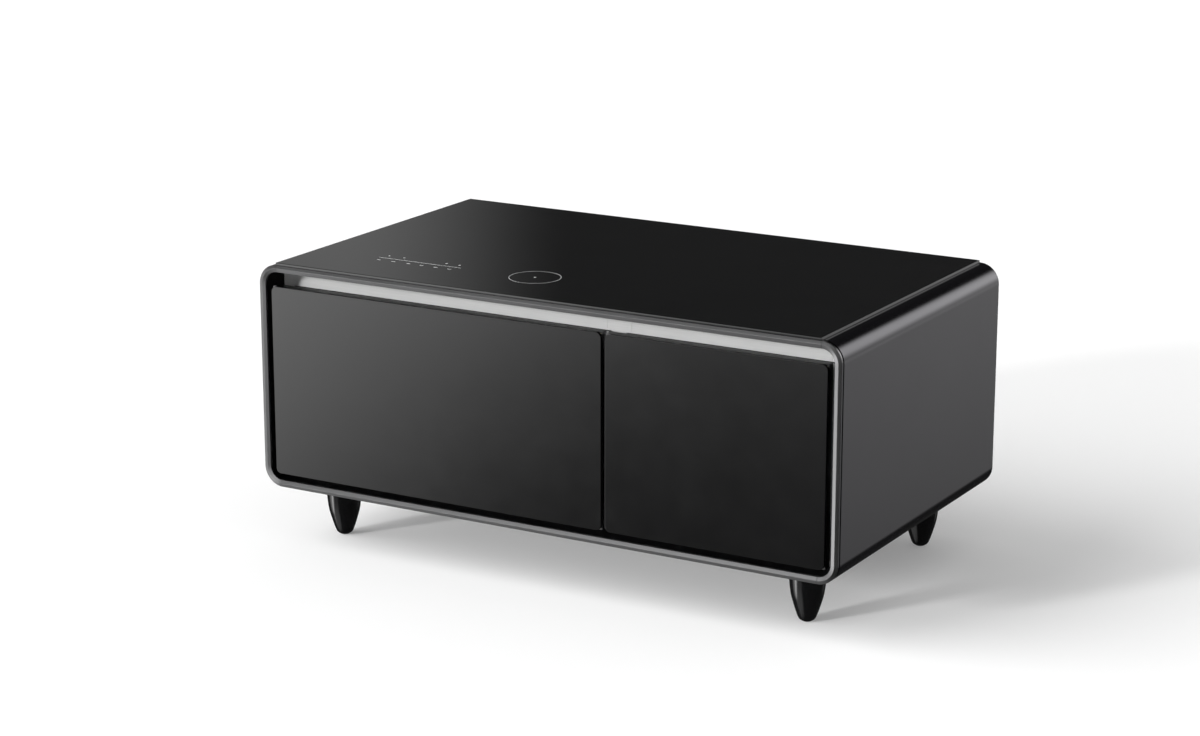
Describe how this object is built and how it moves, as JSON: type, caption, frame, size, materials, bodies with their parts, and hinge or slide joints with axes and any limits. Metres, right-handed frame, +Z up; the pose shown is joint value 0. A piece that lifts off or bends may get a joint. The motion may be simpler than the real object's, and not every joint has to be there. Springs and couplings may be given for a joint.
{
  "type": "refrigerator coffee table",
  "caption": "Glass-topped coffee table on turned legs, with a ridged metal front frame, a wide and a narrow refrigerated drawer on telescopic slides and a machine bay behind.",
  "frame": {"origin": "on the floor under the middle of the table", "axes": "+X to the right of somebody facing the drawers, +Y to the back, +Z up"},
  "size_m": [1, 0.565, 0.455],
  "materials": {
    "shell_coat": "satin",
    "frame_metal": "satin",
    "recess_black": "matte",
    "face_steel": "satin",
    "black_glass": "gloss",
    "trim_grey": "satin",
    "liner_white": "satin",
    "bin_grey": "satin",
    "foam": "matte",
    "slide_zinc": "satin",
    "gasket_rubber": "matte",
    "leg_gloss": "gloss",
    "pad_rubber": "matte",
    "zinc_sheet": "satin",
    "compressor_black": "satin",
    "copper": "satin",
    "fin_aluminium": "satin",
    "board_green": "satin",
    "inner_plastic": "matte",
    "inlet_black": "satin"
  },
  "bodies": {
    "cabinet": {"outer_shell": "shell_coat", "front_frame_top": "frame_metal", "front_frame_bottom": "frame_metal", "front_frame_left": "frame_metal", "front_frame_right": "frame_metal", "recess_surround": "recess_black", "face_stiles": "face_steel", "face_mullion": "face_steel", "face_rail_left": "face_steel", "face_rail_right": "face_steel", "face_sills": "face_steel", "liner_left": "liner_white", "liner_right": "liner_white", "foam_insulation": "foam", "evaporator_plates": "fin_aluminium", "back_panel": "shell_coat", "back_panel_screws": "slide_zinc", "power_inlet": "inlet_black", "machine_bay": "zinc_sheet", "leg_front_left": "leg_gloss", "leg_front_right": "leg_gloss", "leg_rear_left": "leg_gloss", "leg_rear_right": "leg_gloss", "leg_plates": "zinc_sheet", "leg_studs": "zinc_sheet", "leg_pads": "pad_rubber", "top_glass": "black_glass", "glass_bed": "gasket_rubber", "electronics_tray": "inner_plastic", "touch_board": "board_green", "charger_coil": "inner_plastic", "compressor": "compressor_black", "compressor_grommets": "pad_rubber", "starter_box": "inner_plastic", "drip_tray": "inner_plastic", "condenser": "fin_aluminium", "fan_shroud": "inner_plastic", "fan_motor": "slide_zinc", "filter_drier": "copper", "refrigerant_pipes": "copper", "control_box": "inner_plastic", "left_outer_rails": "slide_zinc", "right_outer_rails": "slide_zinc"},
    "left_drawer": {"left_inner_rails": "slide_zinc", "left_drawer_glass": "black_glass", "left_drawer_trim": "trim_grey", "left_drawer_inner_panel": "liner_white", "left_drawer_foam": "foam", "left_drawer_gasket": "gasket_rubber", "left_drawer_bin": "bin_grey"},
    "left_slides": {"left_middle_rails": "slide_zinc"},
    "right_drawer": {"right_inner_rails": "slide_zinc", "right_drawer_glass": "black_glass", "right_drawer_trim": "trim_grey", "right_drawer_inner_panel": "liner_white", "right_drawer_foam": "foam", "right_drawer_gasket": "gasket_rubber", "right_drawer_bin": "bin_grey"},
    "right_slides": {"right_middle_rails": "slide_zinc"},
    "fan": {"fan_rotor": "inner_plastic"}
  },
  "joints": [
    {"name": "left_drawer_slide", "type": "slide", "parent": "cabinet", "child": "left_drawer", "axis": [0, -1, 0], "range_m": [0, 0.32]},
    {"name": "left_slides_slide", "type": "slide", "parent": "cabinet", "child": "left_slides", "axis": [0, -1, 0], "range_m": [0, 0.16]},
    {"name": "right_drawer_slide", "type": "slide", "parent": "cabinet", "child": "right_drawer", "axis": [0, -1, 0], "range_m": [0, 0.32]},
    {"name": "right_slides_slide", "type": "slide", "parent": "cabinet", "child": "right_slides", "axis": [0, -1, 0], "range_m": [0, 0.16]},
    {"name": "fan_spin", "type": "hinge", "parent": "cabinet", "child": "fan", "pos_m": [-0.21, 0.2158, 0.1977], "axis": [0, 1, 0], "continuous": true}
  ],
  "couplings": [
    {"joint": "left_slides_slide", "follows": "left_drawer_slide", "ratio": 0.5},
    {"joint": "right_slides_slide", "follows": "right_drawer_slide", "ratio": 0.5}
  ]
}
